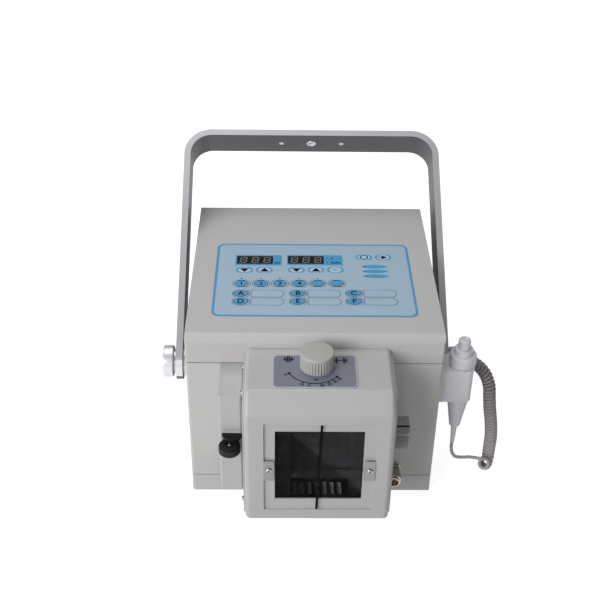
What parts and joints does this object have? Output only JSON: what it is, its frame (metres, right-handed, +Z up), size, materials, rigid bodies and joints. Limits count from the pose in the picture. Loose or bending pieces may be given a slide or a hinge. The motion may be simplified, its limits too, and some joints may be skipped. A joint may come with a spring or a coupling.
{
  "type": "portable x-ray machine",
  "caption": "Hand-carried x-ray unit: box housing with a light-beam collimator in front, membrane panel on top, swinging U handle and a corded hand switch.",
  "frame": {"origin": "on the floor, under the middle of the housing and of its four feet", "axes": "+X to the right of somebody who faces the collimator, +Y to the rear, +Z up"},
  "size_m": [0.352, 0.3848, 0.2891],
  "materials": {
    "painted_housing": "satin",
    "painted_cover": "satin",
    "painted_collimator": "satin",
    "membrane": "satin",
    "dark_window": "gloss",
    "black_rubber": "matte",
    "inner_steel": "satin",
    "clear_window": "gloss",
    "steel_trim": "satin",
    "black_blades": "matte",
    "mirror_glass": "gloss",
    "dial_print": "satin",
    "pale_plastic": "satin",
    "black_plastic": "satin",
    "nickel": "gloss",
    "aluminium_parts": "gloss",
    "anodised_bar": "satin",
    "lilac_plastic": "satin",
    "soft_grey": "satin"
  },
  "bodies": {
    "unit": {"base_tray": "painted_housing", "lower_case": "painted_housing", "top_cover": "painted_cover", "control_panel": "membrane", "display_windows": "dark_window", "rubber_feet": "black_rubber", "tube_block": "inner_steel", "collimator_housing": "painted_collimator", "collimator_side_plates": "painted_collimator", "window_plate": "clear_window", "window_clips": "steel_trim", "shutter_blades": "black_blades", "light_mirror": "mirror_glass", "dial_plate": "dial_print", "field_knob_top": "pale_plastic", "field_knob_side": "pale_plastic", "side_block": "painted_collimator", "thumb_lever": "black_plastic", "thumb_knob": "black_plastic", "front_connector": "nickel", "pivot_hubs": "aluminium_parts", "clamp_knob_left": "aluminium_parts", "clamp_knob_right": "aluminium_parts", "switch_holder": "lilac_plastic", "switch_body": "lilac_plastic", "switch_collar": "lilac_plastic", "exposure_button": "lilac_plastic", "strain_relief": "soft_grey", "cord_lead": "soft_grey", "cord_coil": "soft_grey", "cord_tail": "soft_grey", "cord_gland": "soft_grey", "mains_inlet": "black_plastic", "mains_switch": "black_plastic", "fuse_holders": "black_plastic"},
    "handle": {"handle_bar": "anodised_bar"}
  },
  "joints": [
    {"name": "handle_tilt", "type": "hinge", "parent": "unit", "child": "handle", "pos_m": [0, -0.05, 0.121], "axis": [1, 0, 0], "range_deg": [-50, 50]}
  ]
}
